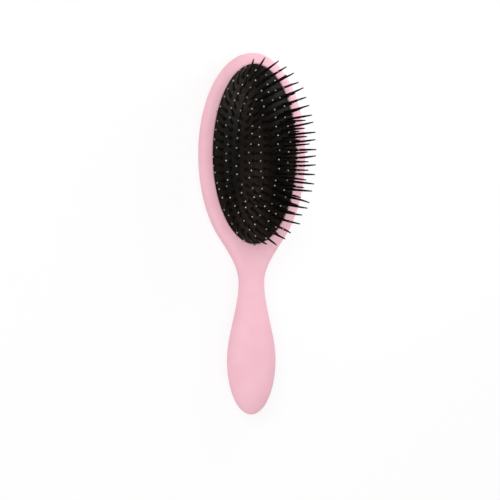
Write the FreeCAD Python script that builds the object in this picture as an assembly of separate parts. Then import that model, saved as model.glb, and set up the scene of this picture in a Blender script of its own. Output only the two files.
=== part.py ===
import FreeCAD, Part
import math
import os
from FreeCAD import Placement, Rotation, Vector

# Oval cushion hairbrush for detangling, lying on its back with the bristles up.
# X is the width, Y the length with the head at +Y, Z up. Millimetres.
# Z = 0 is the surface that the back of the head and of the grip lie on.

# Overall plan
BRUSH_L = 222.0          # end of the grip to the top of the head
HEAD_W = 67.8            # widest part of the head
HEAD_LOW_L = 64.0        # half length of the head's oval on the neck's side
FLARE_SHARE = 0.80       # share of that half length where the neck's flare begins
NECK_W = 15.9            # narrowest part of the neck
NECK_BELOW_PAD = 23.8    # narrowest part of the neck, below the cushion's opening
GRIP_W = 30.6            # widest part of the grip
GRIP_FROM_END = 33.5     # widest part of the grip, from the end of the grip

# Heights of the body, in side view
WIDEST_Z = 9.4           # height of the widest line round the body
HEAD_FRONT_Z = 16.2      # crown of the head's front, before the pocket is cut
NECK_FRONT_Z = 14.6
NECK_BACK_Z = 2.4
GRIP_FRONT_Z = 18.9
FLAT_DEPTH = 0.4         # how much of the rounded back is flattened where it lies

# Fullness of the body's sections: 0.55 is an ellipse, 1 is nearly square
HEAD_FRONT_FULL = 0.98
HEAD_BACK_FULL = 0.80
GRIP_FULL = 0.60
HEAD_FRONT_POWER = 5.0   # how squarely the head's front rounds off at its top
HEAD_BACK_POWER = 3.0
GRIP_END_POWER = 2.4
CAP_INSET = 0.05         # the rounded ends stop this far short, on a small flat
GRIP_END_SECTIONS = 9
SPAN_SECTIONS = 5        # grip to neck, neck to flare, flare to head
HEAD_TOP_SECTIONS = 13

# Pocket in the head that holds the cushion
PAD_W = 53.2             # opening, across
PAD_L = 110.1            # opening, along
RIM_TOP = 7.1            # rim between the opening and the top of the head
PAD_EDGE_DEPTH = 1.2     # where the cushion leaves the pocket's wall, below the head's crown
SEAT_DEPTH = 6.0         # ledge that the cushion and its ring stand on, below that
LEDGE_W = 6.0
CHAMBER_FLOOR_Z = 4.0    # floor of the air chamber under the cushion
LIP_R = 0.9              # round on the pocket's visible edge
BEAD_OUT = 0.8           # undercut in the pocket's wall for the cushion's bead
BEAD_H = 1.4

# Rubber cushion
DOME_H = 8.6             # crown above the cushion's edge
MEMBRANE = 1.6
SKIRT_T = 1.5
VENT_D = 1.6             # lets the air out of the chamber

# Ring that wedges the cushion's skirt against the pocket
RING_T = 2.6
RING_H = 3.4
PEG_D = 2.0
PEG_L = 2.5
PEG_CLEAR = 0.05         # round each peg
PEG_END_CLEAR = 0.3      # under each peg
PEGS = 6

# Bristles: oval rows of pins, square to the cushion
ROWS = 5
ROW_INSET = 4.5          # outer row, from the cushion's edge
CHANNEL_W = 7.4          # between the two sides of the innermost row
PIN_PITCH = 4.8          # along a row
PIN_SIDES = 6
PIN_FREE = 22.0          # free length above the cushion
PIN_ROOT_R = 0.62
PIN_NECK_R = 0.40        # under the ball
PIN_HEAD_R = 0.90        # flared root behind the membrane
PIN_HEAD_T = 0.70
BALL_R = 0.52
BALL_TOP_R = 0.25
PIN_CLEAR = 0.08         # between a pin and its hole, and behind the membrane

# Places worked out from those sizes
TOP_Y = BRUSH_L / 2
END_Y = -BRUSH_L / 2
HEAD_Y = TOP_Y - RIM_TOP - PAD_L / 2
HEAD_TOP_L = TOP_Y - HEAD_Y
FLARE_Y = HEAD_Y - FLARE_SHARE * HEAD_LOW_L
PAD_LOW_Y = HEAD_Y - PAD_L / 2
NECK_Y = PAD_LOW_Y - NECK_BELOW_PAD
GRIP_Y = END_Y + GRIP_FROM_END
PAD_EDGE_Z = HEAD_FRONT_Z - PAD_EDGE_DEPTH
LEDGE_Z = PAD_EDGE_Z - SEAT_DEPTH
CROWN_Z = PAD_EDGE_Z + DOME_H
HALF_W = PAD_W / 2
HALF_L = PAD_L / 2
ROW_STEP = (HALF_W - ROW_INSET - CHANNEL_W / 2) / (ROWS - 1)


def ease(y, y_from, y_to, value_from, value_to):
    """Value between two places along Y, level at both."""
    t = min(max((y - y_from) / (y_to - y_from), 0.0), 1.0)
    return value_from + (value_to - value_from) * t * t * (3 - 2 * t)


def closing(distance, power):
    """Share of the full height left at a share of the way to a rounded end."""
    return (1 - min(abs(distance), 1.0) ** power) ** (1 / power)


def flare_half_width(y):
    """Curve from the head's oval into the neck, tangent to both."""
    span = FLARE_Y - NECK_Y
    t = (FLARE_Y - y) / span
    level = math.sqrt(1 - FLARE_SHARE ** 2)
    start = HEAD_W / 2 * level
    slope = -HEAD_W / 2 * FLARE_SHARE / level * span / HEAD_LOW_L
    stay = (1 + 2 * t) * (1 - t) ** 2
    return stay * start + t * (1 - t) ** 2 * slope + (1 - stay) * NECK_W / 2


def half_width(y):
    """Half width of the body's outline, seen from the front."""
    if y >= HEAD_Y:
        return HEAD_W / 2 * closing((y - HEAD_Y) / HEAD_TOP_L, 2)
    if y >= FLARE_Y:
        return HEAD_W / 2 * closing((HEAD_Y - y) / HEAD_LOW_L, 2)
    if y >= NECK_Y:
        return flare_half_width(y)
    if y >= GRIP_Y:
        return ease(y, NECK_Y, GRIP_Y, NECK_W / 2, GRIP_W / 2)
    return GRIP_W / 2 * closing((GRIP_Y - y) / GRIP_FROM_END, 2)


def side_height(y, head_z, neck_z, grip_z, head_power):
    """Height of the body's front or back line, in side view."""
    if y >= HEAD_Y:
        left = closing((y - HEAD_Y) / HEAD_TOP_L, head_power)
        return WIDEST_Z + (head_z - WIDEST_Z) * left
    if y >= NECK_Y:
        return ease(y, PAD_LOW_Y, NECK_Y, head_z, neck_z)
    if y >= GRIP_Y:
        return ease(y, NECK_Y, GRIP_Y, neck_z, grip_z)
    left = closing((GRIP_Y - y) / GRIP_FROM_END, GRIP_END_POWER)
    return WIDEST_Z + (grip_z - WIDEST_Z) * left


def quarter(y, width, height, full):
    """Quarter of a section, from the middle line to the widest line."""
    curve = Part.BezierCurve()
    curve.setPoles([
        Vector(0, y, WIDEST_Z + height),
        Vector(width * full, y, WIDEST_Z + height),
        Vector(width, y, WIDEST_Z + height * full),
        Vector(width, y, WIDEST_Z),
    ])
    return curve.toShape()


def body_section(y):
    """Closed section of the body across its length."""
    width = half_width(y)
    front = side_height(y, HEAD_FRONT_Z, NECK_FRONT_Z, GRIP_FRONT_Z, HEAD_FRONT_POWER) - WIDEST_Z
    back = side_height(y, -FLAT_DEPTH, NECK_BACK_Z, -FLAT_DEPTH, HEAD_BACK_POWER) - WIDEST_Z
    front_full = ease(y, NECK_Y, PAD_LOW_Y, GRIP_FULL, HEAD_FRONT_FULL)
    back_full = ease(y, NECK_Y, PAD_LOW_Y, GRIP_FULL, HEAD_BACK_FULL)
    return Part.Wire([
        quarter(y, width, front, front_full),
        quarter(y, width, back, back_full),
        quarter(y, -width, back, back_full),
        quarter(y, -width, front, front_full),
    ])


def end_places(y_from, length, count):
    """Places along Y that crowd towards a rounded end, as its outline turns."""
    last = math.asin(1 - CAP_INSET / abs(length))
    return [y_from + length * math.sin(last * i / count) for i in range(count + 1)]


def even_places(y_from, y_to):
    """Evenly spaced places between two others, without the ends."""
    step = (y_to - y_from) / SPAN_SECTIONS
    return [y_from + step * i for i in range(1, SPAN_SECTIONS)]


def body_blank():
    """Outside of the one-piece head, neck and grip, flattened where it lies."""
    places = end_places(GRIP_Y, -GRIP_FROM_END, GRIP_END_SECTIONS)[::-1]
    places += even_places(GRIP_Y, NECK_Y) + [NECK_Y]
    places += even_places(NECK_Y, FLARE_Y) + [FLARE_Y]
    places += even_places(FLARE_Y, HEAD_Y)
    places += end_places(HEAD_Y, HEAD_TOP_L, HEAD_TOP_SECTIONS)
    blank = Part.makeLoft([body_section(y) for y in places], True)
    below = Part.makeBox(HEAD_W, BRUSH_L, WIDEST_Z, Vector(-HEAD_W / 2, END_Y, -WIDEST_Z))
    return blank.cut(below)


def oval(half_w, half_l, z):
    """Oval edge about the middle of the pocket, long way along Y."""
    middle = Vector(0, HEAD_Y, z)
    return Part.Ellipse(middle + Vector(0, half_l, 0), middle - Vector(half_w, 0, 0), middle).toShape()


def oval_block(inset, z_low, z_high):
    """Oval block, that much smaller all round than the pocket's opening."""
    face = Part.Face(Part.Wire([oval(HALF_W - inset, HALF_L - inset, z_low)]))
    return face.extrude(Vector(0, 0, z_high - z_low))


def pegs(radius, length):
    """Round pegs that point down from the ledge, spaced along the ring."""
    middle = SKIRT_T + RING_T / 2
    places = oval(HALF_W - middle, HALF_L - middle, LEDGE_Z).discretize(Number=2 * PEGS + 1)[1::2]
    return [Part.makeCylinder(radius, length, p, Vector(0, 0, -1)) for p in places]


def handle_body():
    tools = [
        oval_block(0, LEDGE_Z, HEAD_FRONT_Z + DOME_H),
        oval_block(-BEAD_OUT, LEDGE_Z, LEDGE_Z + BEAD_H),
        oval_block(LEDGE_W, CHAMBER_FLOOR_Z, LEDGE_Z),
    ]
    tools += pegs(PEG_D / 2 + PEG_CLEAR, PEG_L + PEG_END_CLEAR)
    body = body_blank().cut(tools)
    lip = [e for e in body.Edges if e.BoundBox.ZMin > PAD_EDGE_Z - LIP_R]
    return body.makeFillet(LIP_R, lip)


def dome_drop(x, y):
    """How far the cushion's outside lies under its crown."""
    return DOME_H * ((x / HALF_W) ** 2 + ((y - HEAD_Y) / HALF_L) ** 2)


def bowl(crown_z, drop_x, drop_y):
    """Everything under a dome that drops with the square of the distance, to the ledge."""
    surface = Part.BezierSurface()
    surface.increase(2, 2)
    for i, side_x in enumerate((1, -1, 1)):
        for j, side_y in enumerate((1, -1, 1)):
            pole = Vector((i - 1) * HALF_W, HEAD_Y + (j - 1) * HALF_L, crown_z)
            pole.z -= side_x * drop_x + side_y * drop_y
            surface.setPole(i + 1, j + 1, pole)
    return surface.toShape().extrude(Vector(0, 0, -CROWN_Z))


def inner_drop(half):
    """Drop of the membrane's inside at the pocket's wall, for an even thickness."""
    slope = math.atan(2 * DOME_H / half)
    reach = 1 - MEMBRANE * math.sin(slope) / half
    return (DOME_H - MEMBRANE + MEMBRANE * math.cos(slope)) / reach ** 2


def cushion_pad(placements):
    outside = bowl(CROWN_Z, DOME_H, DOME_H).common(oval_block(0, LEDGE_Z, CROWN_Z + DOME_H))
    inside = bowl(CROWN_Z - MEMBRANE, inner_drop(HALF_W), inner_drop(HALF_L))
    inside = inside.common(oval_block(SKIRT_T, LEDGE_Z, CROWN_Z + DOME_H))
    bead = oval_block(-BEAD_OUT, LEDGE_Z, LEDGE_Z + BEAD_H)
    bead = bead.cut(oval_block(SKIRT_T, LEDGE_Z, LEDGE_Z + BEAD_H))
    pad = outside.cut(inside).fuse(bead).removeSplitter()
    vent = Part.makeCylinder(VENT_D / 2, 2 * DOME_H, Vector(0, HEAD_Y, PAD_EDGE_Z))
    return pad.cut([vent] + [placed(pin_hole(), p) for p in placements])


def cushion_ring():
    ring = oval_block(SKIRT_T, LEDGE_Z, LEDGE_Z + RING_H)
    ring = ring.cut(oval_block(SKIRT_T + RING_T, LEDGE_Z, LEDGE_Z + RING_H))
    return ring.fuse(pegs(PEG_D / 2, PEG_L)).removeSplitter()


def flat_face(corners):
    return Part.Face(Part.makePolygon(corners + corners[:1]))


def faceted_post(profile):
    """Straight post with flat sides, through (height, radius) sections."""
    turns = [2 * math.pi * i / PIN_SIDES for i in range(PIN_SIDES)]
    rings = [[Vector(r * math.cos(t), r * math.sin(t), height) for t in turns] for height, r in profile]
    faces = [flat_face(rings[0]), flat_face(rings[-1])]
    for low, high in zip(rings, rings[1:]):
        for i in range(PIN_SIDES):
            faces.append(flat_face([low[i - 1], low[i], high[i], high[i - 1]]))
    shell = Part.makeShell(faces)
    shell.sewShape()
    return Part.Solid(shell)


def pin():
    """Bristle with its root's flare behind the membrane and a ball on its tip."""
    seat = -MEMBRANE - PIN_CLEAR
    return faceted_post([
        (seat - PIN_HEAD_T, PIN_HEAD_R),
        (seat, PIN_ROOT_R),
        (PIN_FREE - 2 * BALL_R, PIN_NECK_R),
        (PIN_FREE - BALL_R, BALL_R),
        (PIN_FREE, BALL_TOP_R),
    ])


def pin_hole():
    """Tool for a pin's hole, through the membrane and no further."""
    radius = PIN_ROOT_R + PIN_CLEAR
    return faceted_post([(-2 * MEMBRANE, radius), (MEMBRANE, radius)])


def row_placements(row):
    """Roots of a row's pins on the cushion, evenly along an oval, each square to it."""
    inset = ROW_INSET + row * ROW_STEP
    path = oval(HALF_W - inset, HALF_L - inset, 0)
    pairs = round(path.Length / PIN_PITCH / 2)
    placements = []
    for point in path.discretize(Number=2 * pairs + 1)[:-1]:
        root = Vector(point.x, point.y, CROWN_Z - dome_drop(point.x, point.y))
        out = Vector(
            2 * DOME_H * point.x / HALF_W ** 2,
            2 * DOME_H * (point.y - HEAD_Y) / HALF_L ** 2,
            1,
        )
        placements.append(Placement(root, Rotation(Vector(0, 0, 1), out)))
    return placements


def placed(shape, placement):
    copy = shape.copy()
    copy.Placement = placement
    return copy


def main():
    os.makedirs("parts", exist_ok=True)
    rows = [row_placements(row) for row in range(ROWS)]
    nodes = {
        "handle_body": handle_body(),
        "cushion_pad": cushion_pad([p for row in rows for p in row]),
        "cushion_ring": cushion_ring(),
    }
    for number, row in enumerate(rows, 1):
        nodes[f"bristle_row_{number}"] = Part.makeCompound([placed(pin(), p) for p in row])
    for name, shape in nodes.items():
        shape.exportStep(f"parts/{name}.step")


main()
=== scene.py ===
import math
import random

import bmesh
import bpy
import numpy as np
from mathutils import Matrix, Vector


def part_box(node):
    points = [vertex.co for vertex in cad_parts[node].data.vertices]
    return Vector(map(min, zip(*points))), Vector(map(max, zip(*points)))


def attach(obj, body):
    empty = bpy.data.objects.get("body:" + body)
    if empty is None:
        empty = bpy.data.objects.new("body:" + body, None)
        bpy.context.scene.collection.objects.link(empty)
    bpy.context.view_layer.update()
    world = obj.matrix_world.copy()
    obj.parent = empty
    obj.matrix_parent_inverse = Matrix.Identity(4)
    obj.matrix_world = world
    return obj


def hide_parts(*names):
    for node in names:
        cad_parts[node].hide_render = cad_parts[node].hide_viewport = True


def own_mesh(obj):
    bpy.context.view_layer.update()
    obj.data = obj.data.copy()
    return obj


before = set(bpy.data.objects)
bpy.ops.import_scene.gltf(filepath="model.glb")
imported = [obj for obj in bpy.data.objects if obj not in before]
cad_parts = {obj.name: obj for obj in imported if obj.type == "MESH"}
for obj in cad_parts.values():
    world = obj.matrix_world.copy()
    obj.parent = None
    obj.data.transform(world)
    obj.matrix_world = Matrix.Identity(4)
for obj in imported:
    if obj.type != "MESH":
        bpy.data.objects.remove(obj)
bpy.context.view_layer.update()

# Cushion hairbrush, lying on its back: X across, Y along with the head at +Y, Z up, in metres.
MM = 0.001
WELD = 0.001 * MM             # corners this near are one
body_low, body_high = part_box("handle_body")
pad_low, pad_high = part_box("cushion_pad")

# Cushion and its pocket
BEAD_OUT = 0.8 * MM
HALF_W = pad_high.x - BEAD_OUT
HALF_L = (pad_high.y - pad_low.y) / 2 - BEAD_OUT
HEAD_Y = (pad_high.y + pad_low.y) / 2
CROWN_Z = pad_high.z
LEDGE_Z = pad_low.z
EDGE_Z = 15.0 * MM            # where the cushion leaves the pocket's wall
DOME_H = CROWN_Z - EDGE_Z
MEMBRANE = 1.6 * MM
SKIRT_T = 1.5 * MM
VENT_R = 0.8 * MM
EDGE_R = 0.7 * MM             # round where the rubber tucks into the pocket
WALL_GAP = 0.05 * MM
LEDGE_W = 6.0 * MM
CHAMBER_FLOOR_Z = 4.0 * MM
LIP_R = 0.9 * MM
LIP_STEPS = 5
TUCK_STEPS = 4
PAD_RING = 160                # corners round the cushion
DOME_LOOPS = 30
UNDERSIDE_LOOPS = 16
PAD_CREASE = math.radians(60)

# Plan of the body
TOP_Y = body_high.y
END_Y = body_low.y
HEAD_HALF_W = body_high.x
HEAD_TOP_L = TOP_Y - HEAD_Y
HEAD_LOW_L = 64.0 * MM
FLARE_SHARE = 0.80
FLARE_Y = HEAD_Y - FLARE_SHARE * HEAD_LOW_L
NECK_HALF_W = 7.95 * MM
NECK_Y = -30.0 * MM
GRIP_HALF_W = 15.3 * MM
GRIP_L = 33.5 * MM            # round end of the grip
GRIP_Y = END_Y + GRIP_L
LIP_LOW_Y = HEAD_Y - HALF_L - LIP_R

# Mesh of the body
BODY_COUNTS = (60, 16, 56, 56)    # grip and neck, start of the flare, lower and upper half of the head
FRONT_LOOPS = 18
BACK_LOOPS = 22
FLARE_FOOT_Y = LIP_LOW_Y - 12 * MM
GRIP_INNER_Y = END_Y + 14 * MM    # ends of the middle line that the surfaces close on
BACK_INNER_Y = TOP_Y - 22 * MM
FINE_STEPS = 400              # points tried along a curve before it is evenly spaced
HALVINGS = 40
BODY_CREASE = math.radians(50)

# Side lines and fullness of the body's sections
WIDEST_Z = 9.4 * MM
HEAD_FRONT_Z = 16.2 * MM
NECK_FRONT_Z = 14.6 * MM
NECK_BACK_Z = 2.4 * MM
GRIP_FRONT_Z = body_high.z
BACK_Z = -0.4 * MM            # rounded back, before it is flattened where it lies
FLAT_SOFT = 0.1 * MM          # how softly the back turns into that flat
HEAD_FRONT_FULL = 0.98
HEAD_BACK_FULL = 0.80
GRIP_FULL = 0.60
HEAD_FRONT_POWER = 5.0
HEAD_BACK_POWER = 3.0
GRIP_END_POWER = 2.4

# Bristles
ROWS = 5
SEED = 11
PIN_ROOT_R = 0.80 * MM
PIN_NECK_R = 0.37 * MM
PIN_TAPER = 2.5               # over 1: keeps its thickness, then tapers to the tip
PIN_FLARE_R = 0.90 * MM
PIN_FLARE_T = 0.70 * MM
PIN_CLEAR = 0.08 * MM
BALL_R = 0.48 * MM
PIN_BEND = 1.6 * MM           # most that a tip strays from its straight line
BEND_RANGE = (0.1, 1.0)       # shares of that bend
GLINT_RANGE = (0.35, 1.0)       # how bright the painted highlight on the tips is
SOLID_RING = 6                # corners round one bristle's solid
PIN_RING = 10                 # and round the one that shows
SHAFT_STEPS = 8
BALL_TURNS = ((-30, 0), (-5, 0), (20, 0), (40, 1), (65, 1), (84, 1))    # latitude, and whether it carries the tip's painted highlight

# Rubber sleeve round a bristle's root: (height over the cushion, radius) round its section, in mm
SLEEVE = ((-0.30, 1.40), (-0.02, 1.34), (0.12, 1.12), (0.32, 0.95), (0.40, 0.90), (0.40, 0.80), (-0.30, 0.78))
SLEEVE_RING = 12

# Colours, from the darker to the paler of each material's clouding
PINK = ((0.85, 0.475, 0.555), (0.875, 0.505, 0.585))
RUBBER = ((0.0020, 0.0010, 0.0002), (0.0078, 0.0050, 0.0029))
RING_BLACK = ((0.018, 0.018, 0.019), (0.026, 0.026, 0.027))
NYLON = (0.009, 0.007, 0.0055)
# painted highlight: pale colour on the top of each black ball tip, where light glints
NYLON_GLINT = (0.50, 0.49, 0.47)
FLOOR_COLOUR = (0.95, 0.95, 0.95)

# Painted sheen on the cushion, paler streaky patches where the dome catches light: each soft patch's place
# from the cushion's middle, its reach and its colour
SHEEN_PATCHES = (
    ((-10.0 * MM, 36 * MM, 18 * MM), (13 * MM, 28 * MM, 12 * MM), (0.082, 0.071, 0.062)),
    ((-2.0 * MM, -29 * MM, 20 * MM), (12 * MM, 56 * MM, 14 * MM), (0.078, 0.052, 0.040)),
)
SHEEN_LINE_W = 0.5 * MM
SHEEN_LINE_L = 14 * MM

# Photograph's view
FRAME_PX = 500
PX_PER_MM = 1.629
AXIS_PX = (251.6, 53.0)       # body's middle line, and the top of the head
VIEW_ROLL = math.radians(0.15)
VIEW_YAW = math.radians(17.4)
LENS_MM = 200.0
SENSOR_MM = 36.0
CLIP_START = 0.05
FLOOR_WHITE = 0.8             # share of the floor's look that no shadow reaches
FLOOR_HALF = 3.0
FLOOR_Z = -0.05 * MM

# Lamps: place from the point they aim at, size, and level
LAMP_AIM = Vector((0, 0.02, 0.01))
LAMPS = {
    "key": ((-0.56, 0.38, 0.92), 0.60, 0.345),
    "front": ((-0.05, -0.65, 1.00), 0.90, 0.21),
    "side": ((0.13, 0.12, 0.08), 0.10, 0.42),
}
WORLD_LEVEL = 0.575


def new_object(name, bm):
    """Smooth-shaded mesh object from a finished bmesh."""
    bmesh.ops.remove_doubles(bm, verts=bm.verts, dist=WELD)
    bmesh.ops.recalc_face_normals(bm, faces=bm.faces)
    mesh = bpy.data.meshes.new(name)
    bm.to_mesh(mesh)
    bm.free()
    mesh.shade_smooth()
    obj = bpy.data.objects.new(name, mesh)
    bpy.context.scene.collection.objects.link(obj)
    return obj


def add_loop(bm, points):
    return [bm.verts.new(p) for p in points]


def bridge(bm, loops):
    """Quads between each closed loop of corners and the next."""
    for low, high in zip(loops, loops[1:]):
        for i in range(len(low)):
            bm.faces.new((low[i - 1], low[i], high[i], high[i - 1]))


def evenly(points, count):
    """count + 1 points, evenly spaced along a line of points."""
    points = np.array(points, float)
    steps = np.linalg.norm(np.diff(points[:, :2], axis=0), axis=1)
    run = np.concatenate([[0.0], np.cumsum(steps)])
    at = np.linspace(0, run[-1], count + 1)
    return np.stack([np.interp(at, run, column) for column in points.T], axis=1)


# Body

def ease(y, y_from, y_to, value_from, value_to):
    """Value between two places along Y, level at both."""
    t = min(max((y - y_from) / (y_to - y_from), 0.0), 1.0)
    return value_from + (value_to - value_from) * t * t * (3 - 2 * t)


def closing(distance, power):
    """Share of the full height left at a share of the way to a rounded end."""
    return (1 - min(abs(distance), 1.0) ** power) ** (1 / power)


def flare_half_width(y):
    """Curve from the head's oval into the neck, tangent to both."""
    span = FLARE_Y - NECK_Y
    t = (FLARE_Y - y) / span
    level = math.sqrt(1 - FLARE_SHARE ** 2)
    slope = -HEAD_HALF_W * FLARE_SHARE / level * span / HEAD_LOW_L
    stay = (1 + 2 * t) * (1 - t) ** 2
    return stay * HEAD_HALF_W * level + t * (1 - t) ** 2 * slope + (1 - stay) * NECK_HALF_W


def half_width(y):
    """Half width of the body's outline, seen from the front."""
    if y >= HEAD_Y:
        return HEAD_HALF_W * closing((y - HEAD_Y) / HEAD_TOP_L, 2)
    if y >= FLARE_Y:
        return HEAD_HALF_W * closing((HEAD_Y - y) / HEAD_LOW_L, 2)
    if y >= NECK_Y:
        return flare_half_width(y)
    if y >= GRIP_Y:
        return ease(y, NECK_Y, GRIP_Y, NECK_HALF_W, GRIP_HALF_W)
    return GRIP_HALF_W * closing((GRIP_Y - y) / GRIP_L, 2)


def side_height(y, head_z, neck_z, grip_z, head_power):
    """Height of the body's front or back line over its widest line, in side view."""
    if y >= HEAD_Y:
        return (head_z - WIDEST_Z) * closing((y - HEAD_Y) / HEAD_TOP_L, head_power)
    if y >= NECK_Y:
        return ease(y, HEAD_Y - HALF_L, NECK_Y, head_z, neck_z) - WIDEST_Z
    if y >= GRIP_Y:
        return ease(y, NECK_Y, GRIP_Y, neck_z, grip_z) - WIDEST_Z
    return (grip_z - WIDEST_Z) * closing((GRIP_Y - y) / GRIP_L, GRIP_END_POWER)


def section_share(across, full):
    """Share of a section's height left at a share of the way to its widest line."""
    low, high = 0.0, 1.0
    for _ in range(HALVINGS):
        t = (low + high) / 2
        reach = 3 * (1 - t) ** 2 * t * full + 3 * (1 - t) * t ** 2 + t ** 3
        low, high = (t, high) if reach < across else (low, t)
    return (1 - t) ** 3 + 3 * (1 - t) ** 2 * t + 3 * (1 - t) * t ** 2 * full


def front_z(x, y):
    height = side_height(y, HEAD_FRONT_Z, NECK_FRONT_Z, GRIP_FRONT_Z, HEAD_FRONT_POWER)
    full = ease(y, NECK_Y, HEAD_Y - HALF_L, GRIP_FULL, HEAD_FRONT_FULL)
    return WIDEST_Z + height * section_share(abs(x) / max(half_width(y), 1e-9), full)


def back_z(x, y):
    height = side_height(y, BACK_Z, NECK_BACK_Z, BACK_Z, HEAD_BACK_POWER)
    full = ease(y, NECK_Y, HEAD_Y - HALF_L, GRIP_FULL, HEAD_BACK_FULL)
    z = WIDEST_Z + height * section_share(abs(x) / max(half_width(y), 1e-9), full)
    return (z + math.sqrt(z * z + FLAT_SOFT * FLAT_SOFT)) / 2


def outline(y_from, y_to, count):
    """Right side of the body's outline between two places, evenly spaced."""
    turns = np.linspace(0, math.pi, FINE_STEPS)
    places = y_from + (y_to - y_from) * (1 - np.cos(turns)) / 2
    return evenly([(half_width(y), y) for y in places], count)


def oval(grow, angles):
    """Points on the pocket's oval, grown by that much all round."""
    return [((HALF_W + grow) * math.cos(a), HEAD_Y + (HALF_L + grow) * math.sin(a)) for a in angles]


def lip_line(angle_from, angle_to, count):
    """Outer edge of the pocket's rounded lip, with each point's angle, evenly spaced."""
    angles = np.linspace(angle_from, angle_to, FINE_STEPS)
    return evenly([(*p, a) for p, a in zip(oval(LIP_R, angles), angles)], count)


def middle_line(y_from, y_to, count):
    return np.array([(0.0, y) for y in np.linspace(y_from, y_to, count + 1)])


def join(stretches):
    """One line from stretches that share their ends."""
    return np.concatenate([stretches[0]] + [s[1:] for s in stretches[1:]])


def both_sides(right):
    """Closed loop from its right half, which runs from the middle line to the middle line."""
    left = [(-x, y) for x, y in right[-2:0:-1]]
    return [tuple(p) for p in right] + left


def surface_loops(bm, outer, inner, height, count):
    """Loops from the outline to a line inside it, crowded where the surface stands up."""
    loops = []
    for k in range(1, count + 1):
        share = 1 - math.cos(k / count * math.pi / 2)
        plan = both_sides(outer + (inner - outer) * share)
        loops.append(add_loop(bm, [(x, y, height(x, y)) for x, y in plan]))
    return loops


def pocket_loops(bm, lip, angles):
    """Loops from the lip down the pocket's wall, over the ledge and down to the chamber's floor."""
    lip_z = [v.co.z for v in lip]
    loops = [lip]
    for k in range(1, LIP_STEPS + 1):
        turn = k / LIP_STEPS * math.pi / 2
        plan = oval(LIP_R * (1 - math.sin(turn)), angles)
        drop = LIP_R * (1 - math.cos(turn))
        loops.append(add_loop(bm, [(x, y, z - drop) for (x, y), z in zip(plan, lip_z)]))
    for grow, z in ((0, LEDGE_Z), (-LEDGE_W, LEDGE_Z), (-LEDGE_W, CHAMBER_FLOOR_Z)):
        loops.append(add_loop(bm, [(x, y, z) for x, y in oval(grow, angles)]))
    reach = HALF_L - HALF_W
    loops.append(add_loop(bm, [(0, HEAD_Y + reach * math.sin(a), CHAMBER_FLOOR_Z) for a in angles]))
    return loops


def make_body():
    grip, flare, low_head, high_head = BODY_COUNTS
    stops = (END_Y, NECK_Y, FLARE_FOOT_Y, HEAD_Y, TOP_Y)
    outer = join([outline(a, b, n) for a, b, n in zip(stops, stops[1:], BODY_COUNTS)])
    low_middle = join([middle_line(GRIP_INNER_Y, NECK_Y, grip), middle_line(NECK_Y, LIP_LOW_Y, flare)])
    lip_half = join([lip_line(-math.pi / 2, 0, low_head), lip_line(0, math.pi / 2, high_head)])
    front_inner = join([low_middle, lip_half[:, :2]])
    back_inner = join([
        low_middle,
        middle_line(LIP_LOW_Y, HEAD_Y, low_head),
        middle_line(HEAD_Y, BACK_INNER_Y, high_head),
    ])
    bm = bmesh.new()
    rim = add_loop(bm, [(x, y, WIDEST_Z) for x, y in both_sides(outer)])
    front = surface_loops(bm, outer, front_inner, front_z, FRONT_LOOPS)
    back = surface_loops(bm, outer, back_inner, back_z, BACK_LOOPS)
    bridge(bm, [rim] + front)
    bridge(bm, [rim] + back)
    first = len(low_middle) - 1
    last = len(outer) - 1
    right = list(range(first, last + 1))
    left = [2 * last - i for i in range(last - 1, first, -1)]
    angles = list(lip_half[:, 2]) + [math.pi - a for a in lip_half[-2:0:-1, 2]]
    bridge(bm, pocket_loops(bm, [front[-1][i] for i in right + left], angles))
    body = new_object("brush_body", bm)
    body.data.set_sharp_from_angle(angle=BODY_CREASE)
    return body


# Cushion

def dome_z(x, y):
    return CROWN_Z - DOME_H * ((x / HALF_W) ** 2 + ((y - HEAD_Y) / HALF_L) ** 2)


def dome_loop(bm, inset, lower, angles):
    plan = oval(-inset, angles)
    return add_loop(bm, [(x, y, dome_z(x, y) - lower) for x, y in plan])


def vent_to_edge(bm, count, inset, lower, angles):
    """Loops on the dome from the vent hole out to near its edge."""
    loops = []
    for k in range(count + 1):
        share = k / count
        half_w = VENT_R + (HALF_W - inset - VENT_R) * share
        half_l = VENT_R + (HALF_L - inset - VENT_R) * share
        plan = [(half_w * math.cos(a), HEAD_Y + half_l * math.sin(a)) for a in angles]
        loops.append(add_loop(bm, [(x, y, dome_z(x, y) - lower) for x, y in plan]))
    return loops


def tuck_loops(bm, angles):
    """Loops round the dome's edge, where the rubber turns down into the pocket."""
    loops = []
    for k in range(1, TUCK_STEPS + 1):
        turn = k / TUCK_STEPS * math.pi / 2
        inset = WALL_GAP + EDGE_R * (1 - math.sin(turn))
        drop = EDGE_R * (1 - math.cos(turn))
        loops.append(dome_loop(bm, inset, drop, angles))
    return loops


def ring_at(bm, centre, axis, profile, sides):
    """Loops of a turned shape about an axis, through (distance along, radius) pairs."""
    turn = axis.to_track_quat("Z", "Y").to_matrix()
    angles = [2 * math.pi * i / sides for i in range(sides)]
    loops = []
    for along, radius in profile:
        ring = [Vector((radius * math.cos(a), radius * math.sin(a), along)) for a in angles]
        loops.append(add_loop(bm, [centre + turn @ p for p in ring]))
    return loops


def add_sleeve(bm, pin):
    """Moulded rubber sleeve round a bristle's root."""
    section = [(along * MM, radius * MM) for along, radius in SLEEVE]
    loops = ring_at(bm, pin["root"], pin["axis"], section, SLEEVE_RING)
    bridge(bm, loops + loops[:1])


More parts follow.
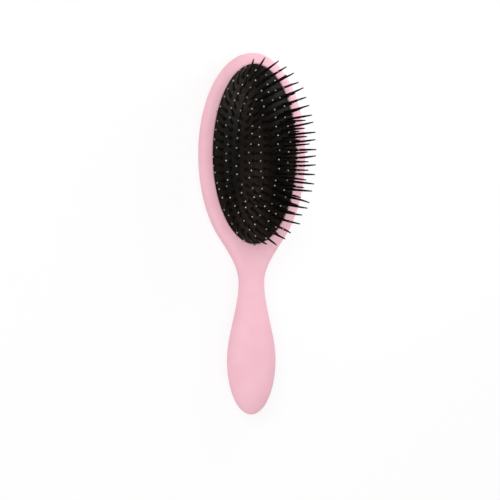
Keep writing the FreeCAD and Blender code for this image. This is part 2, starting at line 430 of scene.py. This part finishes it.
def make_cushion(pins):
    bm = bmesh.new()
    angles = [2 * math.pi * i / PAD_RING for i in range(PAD_RING)]
    loops = vent_to_edge(bm, DOME_LOOPS, WALL_GAP + EDGE_R, 0, angles)
    loops += tuck_loops(bm, angles)
    for inset in (WALL_GAP, SKIRT_T):
        loops.append(add_loop(bm, [(x, y, LEDGE_Z) for x, y in oval(-inset, angles)]))
    loops += vent_to_edge(bm, UNDERSIDE_LOOPS, SKIRT_T, MEMBRANE, angles)[::-1]
    bridge(bm, loops + loops[:1])
    for pin in pins:
        add_sleeve(bm, pin)
    cushion = new_object("air_cushion", bm)
    cushion.data.set_sharp_from_angle(angle=PAD_CREASE)
    return cushion


# Bristles

def islands(bm):
    """Groups of corners that edges join."""
    left = set(bm.verts)
    while left:
        group, reach = set(), [left.pop()]
        while reach:
            v = reach.pop()
            group.add(v)
            near = {e.other_vert(v) for e in v.link_edges} & left
            left -= near
            reach += near
        yield sorted(group, key=lambda v: v.index)


def middle(points):
    return sum(points, Vector()) / len(points)


def read_pins(node):
    """Root on the cushion, axis and free length of every bristle in a row's solid."""
    bm = bmesh.new()
    bm.from_mesh(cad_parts[node].data)
    bmesh.ops.remove_doubles(bm, verts=bm.verts, dist=WELD)
    bm.verts.index_update()
    pins = []
    for group in islands(bm):
        points = sorted((v.co.copy() for v in group), key=lambda p: p.z)
        along = points[-1] - points[0]
        points.sort(key=lambda p: p.dot(along))
        foot = middle(points[:SOLID_RING])
        tip = middle(points[-SOLID_RING:])
        axis = (tip - foot).normalized()
        root = foot + axis * (MEMBRANE + PIN_CLEAR + PIN_FLARE_T)
        pins.append({"root": root, "axis": axis, "free": (tip - root).length})
    bm.free()
    return sorted(pins, key=lambda p: math.atan2(p["root"].y - HEAD_Y, p["root"].x))


def pin_profile(free):
    """(distance from the root, radius, how much of it carries the tip's painted highlight) down a bristle."""
    seat = -MEMBRANE - PIN_CLEAR
    profile = [(seat - PIN_FLARE_T, PIN_FLARE_R, 0), (seat, PIN_ROOT_R, 0)]
    neck = free - BALL_R - math.sqrt(BALL_R ** 2 - PIN_NECK_R ** 2)
    for k in range(SHAFT_STEPS + 1):
        share = k / SHAFT_STEPS
        radius = PIN_ROOT_R + (PIN_NECK_R - PIN_ROOT_R) * share ** PIN_TAPER
        profile.append((neck * share, radius, 0))
    for degrees, tip in BALL_TURNS:
        turn = math.radians(degrees)
        profile.append((free - BALL_R + BALL_R * math.sin(turn), BALL_R * math.cos(turn), tip))
    return profile


def add_pin(bm, glint_layer, pin, rng):
    """One bristle, slightly bent, with a ball on its tip."""
    axis = pin["axis"]
    side = axis.orthogonal().normalized()
    side = Matrix.Rotation(rng.uniform(0, 2 * math.pi), 3, axis) @ side
    bend = side * PIN_BEND * rng.uniform(*BEND_RANGE)
    # how strong this bristle's painted highlight on its ball tip is
    glint_level = rng.uniform(*GLINT_RANGE)
    loops = []
    for along, radius, tip in pin_profile(pin["free"]):
        share = max(along, 0) / pin["free"]
        centre = pin["root"] + axis * along + bend * share ** 2
        lean = (axis + bend * (2 * share / pin["free"])).normalized()
        loop = ring_at(bm, centre, lean, [(0, radius)], PIN_RING)[0]
        for v in loop:
            v[glint_layer] = tip * glint_level
        loops.append(loop)
    bridge(bm, loops)
    bm.faces.new(loops[0][::-1])
    bm.faces.new(loops[-1])


def make_row(number, pins, rng):
    bm = bmesh.new()
    # the tip layer holds how strong the painted highlight is at each corner
    glint_layer = bm.verts.layers.float.new("tip")
    for pin in pins:
        add_pin(bm, glint_layer, pin, rng)
    return new_object(f"bristles_{number}", bm)


# Materials

def new_material(name):
    material = bpy.data.materials.new(name)
    material.use_nodes = True
    return material, material.node_tree.nodes, material.node_tree.links


def noise(nodes, links, size, detail=3.0):
    """Noise of about that feature size, in the object's own space."""
    place = nodes.new("ShaderNodeTexCoord")
    texture = nodes.new("ShaderNodeTexNoise")
    texture.inputs["Scale"].default_value = 1 / size
    texture.inputs["Detail"].default_value = detail
    links.new(place.outputs["Object"], texture.inputs["Vector"])
    return texture.outputs["Fac"]


def ranged(nodes, links, value, low, high):
    """A noise's middle range, stretched between two values."""
    spread = nodes.new("ShaderNodeMapRange")
    spread.inputs["From Min"].default_value = 0.3
    spread.inputs["From Max"].default_value = 0.7
    spread.inputs["To Min"].default_value = low
    spread.inputs["To Max"].default_value = high
    links.new(value, spread.inputs["Value"])
    return spread.outputs["Result"]


def mixed(nodes, links, share, first, second):
    """Colour between two others."""
    mix = nodes.new("ShaderNodeMix")
    mix.data_type = "RGBA"
    mix.inputs["A"].default_value = (*first, 1)
    mix.inputs["B"].default_value = (*second, 1)
    links.new(share, mix.inputs["Factor"])
    return mix.outputs["Result"]


def bumped(nodes, links, heights):
    """Normal from (height, strength, depth) layers, coarse to fine."""
    normal = None
    for height, strength, depth in heights:
        bump = nodes.new("ShaderNodeBump")
        bump.inputs["Strength"].default_value = strength
        bump.inputs["Distance"].default_value = depth
        links.new(height, bump.inputs["Height"])
        if normal is not None:
            links.new(normal, bump.inputs["Normal"])
        normal = bump.outputs["Normal"]
    return normal


def fitted(nodes, links, texture, centre, reach):
    """Texture in the object's own space, centred on a place and drawn out to a reach."""
    place = nodes.new("ShaderNodeTexCoord")
    fit = nodes.new("ShaderNodeMapping")
    fit.vector_type = "TEXTURE"
    fit.inputs["Location"].default_value = centre
    fit.inputs["Scale"].default_value = reach
    links.new(place.outputs["Object"], fit.inputs["Vector"])
    links.new(fit.outputs["Vector"], texture.inputs["Vector"])
    return texture.outputs["Fac"]


def sheen_lines(nodes, links):
    """Fine lines along Y, 0 to 1, that streak the painted sheen."""
    lines = nodes.new("ShaderNodeTexNoise")
    lines.inputs["Scale"].default_value = 1.0
    lines.inputs["Detail"].default_value = 4.0
    value = fitted(nodes, links, lines, (0, 0, 0), (SHEEN_LINE_W, SHEEN_LINE_L, SHEEN_LINE_W))
    return ranged(nodes, links, value, 0, 1)


def patch(nodes, links, place, reach):
    """1 at a place on the cushion, fading to 0 at its reach."""
    fade = nodes.new("ShaderNodeTexGradient")
    fade.gradient_type = "SPHERICAL"
    return fitted(nodes, links, fade, (place[0], HEAD_Y + place[1], place[2]), reach)


def with_painted_sheen(nodes, links, colour):
    """A colour with streaky patches of painted sheen over it."""
    lines = sheen_lines(nodes, links)
    for place, reach, sheen_colour in SHEEN_PATCHES:
        near = patch(nodes, links, place, reach)
        mix = nodes.new("ShaderNodeMix")
        mix.data_type = "RGBA"
        mix.inputs["B"].default_value = (*sheen_colour, 1)
        links.new(math_node(nodes, links, "MULTIPLY", lines, near), mix.inputs["Factor"])
        links.new(colour, mix.inputs["A"])
        colour = mix.outputs["Result"]
    return colour


def soft_touch_pink():
    """Matte coating with a fine grain, faint clouding and slightly polished handling marks."""
    material, nodes, links = new_material("soft_touch_pink")
    shader = nodes["Principled BSDF"]
    clouds = ranged(nodes, links, noise(nodes, links, 14 * MM), 0, 1)
    links.new(mixed(nodes, links, clouds, *PINK), shader.inputs["Base Color"])
    marks = ranged(nodes, links, noise(nodes, links, 6 * MM, 6), 0.50, 0.62)
    links.new(marks, shader.inputs["Roughness"])
    grain = noise(nodes, links, 0.25 * MM, 2)
    swell = noise(nodes, links, 3 * MM, 2)
    links.new(bumped(nodes, links, [(swell, 0.10, 0.05 * MM), (grain, 0.25, 0.02 * MM)]),
              shader.inputs["Normal"])
    shader.inputs["Specular IOR Level"].default_value = 0.4
    return material


def cushion_rubber():
    """Warm black rubber with a fine skin and streaks of painted sheen."""
    material, nodes, links = new_material("cushion_rubber")
    shader = nodes["Principled BSDF"]
    clouds = ranged(nodes, links, noise(nodes, links, 6 * MM, 8), 0, 1)
    colour = mixed(nodes, links, clouds, *RUBBER)
    # paler patches painted as sheen, at the upper left and low in the middle of the dome
    links.new(with_painted_sheen(nodes, links, colour), shader.inputs["Base Color"])
    links.new(ranged(nodes, links, noise(nodes, links, 1.2 * MM, 4), 0.38, 0.52), shader.inputs["Roughness"])
    skin = noise(nodes, links, 0.35 * MM, 3)
    links.new(bumped(nodes, links, [(skin, 0.35, 0.05 * MM)]), shader.inputs["Normal"])
    shader.inputs["Specular IOR Level"].default_value = 0.07
    return material


def ring_plastic():
    """Plain black moulded plastic with a light grain."""
    material, nodes, links = new_material("ring_plastic")
    shader = nodes["Principled BSDF"]
    tone = ranged(nodes, links, noise(nodes, links, 4 * MM), 0, 1)
    links.new(mixed(nodes, links, tone, *RING_BLACK), shader.inputs["Base Color"])
    links.new(ranged(nodes, links, noise(nodes, links, 1 * MM), 0.38, 0.5), shader.inputs["Roughness"])
    grain = noise(nodes, links, 0.3 * MM)
    links.new(bumped(nodes, links, [(grain, 0.2, 0.03 * MM)]), shader.inputs["Normal"])
    return material


def bristle_nylon():
    """Glossy black nylon, with a highlight painted pale on the top of the rounded tip."""
    material, nodes, links = new_material("bristle_nylon")
    shader = nodes["Principled BSDF"]
    tip = nodes.new("ShaderNodeAttribute")
    # the tip attribute places the painted highlight on the ball tips
    tip.attribute_name = "tip"
    links.new(mixed(nodes, links, tip.outputs["Fac"], NYLON, NYLON_GLINT), shader.inputs["Base Color"])
    links.new(ranged(nodes, links, noise(nodes, links, 0.8 * MM, 4), 0.26, 0.40), shader.inputs["Roughness"])
    grain = noise(nodes, links, 0.2 * MM, 2)
    links.new(bumped(nodes, links, [(grain, 0.15, 0.02 * MM)]), shader.inputs["Normal"])
    shader.inputs["Specular IOR Level"].default_value = 0.25
    return material


def math_node(nodes, links, operation, first, second):
    """Output of one sum on a socket and on a socket or a number."""
    node = nodes.new("ShaderNodeMath")
    node.operation = operation
    links.new(first, node.inputs[0])
    if isinstance(second, float):
        node.inputs[1].default_value = second
    else:
        links.new(second, node.inputs[1])
    return node.outputs["Value"]


def seen_directly(nodes, links):
    """1 for a ray that the camera, a reflection or a clear body sees by, else 0."""
    rays = nodes.new("ShaderNodeLightPath")
    seen = rays.outputs["Is Camera Ray"]
    for kind in ("Is Glossy Ray", "Is Transmission Ray"):
        seen = math_node(nodes, links, "MAXIMUM", seen, rays.outputs[kind])
    return seen


def floor_paint():
    """White sweep that the camera sees nearly white, with the object's shadow kept."""
    material, nodes, links = new_material("floor_paint")
    shader = nodes["Principled BSDF"]
    shader.inputs["Base Color"].default_value = (*FLOOR_COLOUR, 1)
    shader.inputs["Roughness"].default_value = 0.9
    shader.inputs["Specular IOR Level"].default_value = 0.0
    white = nodes.new("ShaderNodeEmission")
    mix = nodes.new("ShaderNodeMixShader")
    seen = seen_directly(nodes, links)
    links.new(math_node(nodes, links, "MULTIPLY", seen, FLOOR_WHITE), mix.inputs["Fac"])
    links.new(shader.outputs["BSDF"], mix.inputs[1])
    links.new(white.outputs["Emission"], mix.inputs[2])
    links.new(mix.outputs["Shader"], nodes["Material Output"].inputs["Surface"])
    return material


# Stage, light and camera

def make_floor():
    bm = bmesh.new()
    bmesh.ops.create_grid(bm, x_segments=2, y_segments=2, size=FLOOR_HALF)
    floor = new_object("floor", bm)
    floor.location.z = FLOOR_Z
    floor.data.materials.append(floor_paint())


def make_lamp(name, place, size, level):
    """Square soft light, aimed at the head. Level is what it alone gives a white face turned to it."""
    data = bpy.data.lights.new(name, "AREA")
    data.size = size
    offset = Vector(place)
    data.energy = level * math.pi ** 2 * offset.length_squared
    lamp = bpy.data.objects.new(name, data)
    lamp.location = LAMP_AIM + offset
    lamp.rotation_euler = offset.to_track_quat("Z", "Y").to_euler()
    bpy.context.scene.collection.objects.link(lamp)


def make_world(level):
    """Even white surround: white to look at, and that level as light."""
    world = bpy.data.worlds.new("studio")
    world.use_nodes = True
    nodes, links = world.node_tree.nodes, world.node_tree.links
    dim = nodes["Background"]
    dim.inputs["Color"].default_value = (1, 1, 1, 1)
    dim.inputs["Strength"].default_value = level
    white = nodes.new("ShaderNodeBackground")
    white.inputs["Color"].default_value = (1, 1, 1, 1)
    mix = nodes.new("ShaderNodeMixShader")
    links.new(seen_directly(nodes, links), mix.inputs["Fac"])
    links.new(dim.outputs["Background"], mix.inputs[1])
    links.new(white.outputs["Background"], mix.inputs[2])
    links.new(mix.outputs["Shader"], nodes["World Output"].inputs["Surface"])
    bpy.context.scene.world = world


def make_camera():
    """Square to the brush's length, turned a little to its left side, with the photograph's framing."""
    back = Vector((-math.sin(VIEW_YAW), 0, math.cos(VIEW_YAW)))
    up = Matrix.Rotation(VIEW_ROLL, 3, back) @ Vector((0, 1, 0))
    right = up.cross(back)
    across = (FRAME_PX / 2 - AXIS_PX[0]) / PX_PER_MM * MM
    down = (FRAME_PX / 2 - AXIS_PX[1]) / PX_PER_MM * MM
    aim = Vector((0, TOP_Y - down, WIDEST_Z)) + right * across
    distance = FRAME_PX / PX_PER_MM * MM * LENS_MM / SENSOR_MM
    data = bpy.data.cameras.new("camera")
    data.lens = LENS_MM
    data.sensor_width = SENSOR_MM
    data.clip_start = CLIP_START
    camera = bpy.data.objects.new("camera", data)
    turn = Matrix((right, up, back)).transposed().to_4x4()
    camera.matrix_world = Matrix.Translation(aim + back * distance) @ turn
    bpy.context.scene.collection.objects.link(camera)
    bpy.context.scene.camera = camera


# Assembly

def dress(obj, material, body, slot, *nodes):
    """Gives a piece its material, its body and the nodes that it stands for."""
    obj.data.materials.clear()
    obj.data.materials.append(material)
    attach(obj, body)
    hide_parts(*nodes)


rng = random.Random(SEED)
rows = {number: read_pins(f"bristle_row_{number}") for number in range(1, ROWS + 1)}

dress(make_body(), soft_touch_pink(), "handle", "soft_touch_pink", "handle_body")

cushion = make_cushion([pin for pins in rows.values() for pin in pins])
dress(cushion, cushion_rubber(), "handle", "cushion_rubber", "cushion_pad")
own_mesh(cushion)

nylon = bristle_nylon()
for number, pins in rows.items():
    row = make_row(number, pins, rng)
    dress(row, nylon, f"row_{number}", "bristle_nylon", f"bristle_row_{number}")

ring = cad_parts["cushion_ring"]
ring.data.materials.clear()
ring.data.materials.append(ring_plastic())

make_floor()
for name, (place, size, level) in LAMPS.items():
    make_lamp(name, place, size, level)
make_world(WORLD_LEVEL)
make_camera()
bpy.context.scene.view_settings.view_transform = "Standard"
